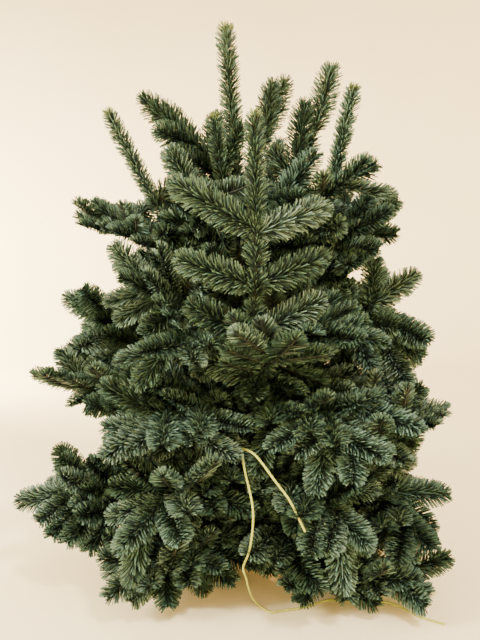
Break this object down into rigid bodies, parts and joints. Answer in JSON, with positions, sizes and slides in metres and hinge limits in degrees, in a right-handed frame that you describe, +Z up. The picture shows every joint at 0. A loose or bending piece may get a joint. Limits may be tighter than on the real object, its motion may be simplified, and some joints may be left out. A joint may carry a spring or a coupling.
{
  "type": "small cut christmas tree on a wooden cross stand",
  "caption": "Small cut noble fir, standing as a table-top Christmas tree with its trunk wedged in a plain ring on two lapped boards.",
  "frame": {"origin": "middle of the cross's underside, under the foot of the trunk", "axes": "+Z up, -Y towards the front of the tree, +X to the right seen from the front"},
  "size_m": [0.7657, 0.5634, 0.9669],
  "materials": {
    "stand_wood": "planed softwood boards, unvarnished",
    "bark": "thin grey-brown fir bark with small resin blisters",
    "needles": "dense waxy blue-green needles on brown twigs"
  },
  "bodies": {
    "root": {"stand_board_lower": "stand_wood", "stand_board_upper": "stand_wood", "stand_collar": "stand_wood", "trunk": "bark", "leader_foliage": "needles", "front_spire_bough": "bark", "front_spire_foliage": "needles", "left_spire_bough": "bark", "left_spire_foliage": "needles", "right_spire_bough": "bark", "right_spire_foliage": "needles", "right_wand_foliage": "needles", "middle_spire_foliage": "needles", "left_crown_foliage": "needles", "right_crown_foliage": "needles", "left_wing_foliage": "needles", "right_wing_foliage": "needles", "rear_left_crown_foliage": "needles", "rear_right_crown_foliage": "needles", "left_upper_bough": "bark", "left_upper_foliage": "needles", "right_upper_foliage": "needles", "right_shoulder_bough": "bark", "right_shoulder_foliage": "needles", "left_shoulder_foliage": "needles", "front_mid_foliage": "needles", "left_mid_bough": "bark", "left_mid_foliage": "needles", "right_mid_bough": "bark", "right_mid_foliage": "needles", "left_long_bough": "bark", "left_long_foliage": "needles", "right_long_bough": "bark", "right_long_foliage": "needles", "front_left_upper_foliage": "needles", "front_right_upper_foliage": "needles", "front_left_mid_foliage": "needles", "front_right_mid_foliage": "needles", "left_low_bough": "bark", "left_low_foliage": "needles", "right_low_bough": "bark", "right_low_foliage": "needles", "front_left_deep_foliage": "needles", "front_right_deep_foliage": "needles", "front_left_low_bough": "bark", "front_left_low_foliage": "needles", "front_right_low_bough": "bark", "front_right_low_foliage": "needles", "front_low_foliage": "needles", "front_foot_foliage": "needles", "back_left_upper_foliage": "needles", "back_right_upper_foliage": "needles", "back_mid_foliage": "needles", "back_left_mid_foliage": "needles", "back_right_mid_foliage": "needles", "back_low_foliage": "needles", "back_left_low_bough": "bark", "back_left_low_foliage": "needles", "back_right_low_bough": "bark", "back_right_low_foliage": "needles"}
  },
  "joints": []
}
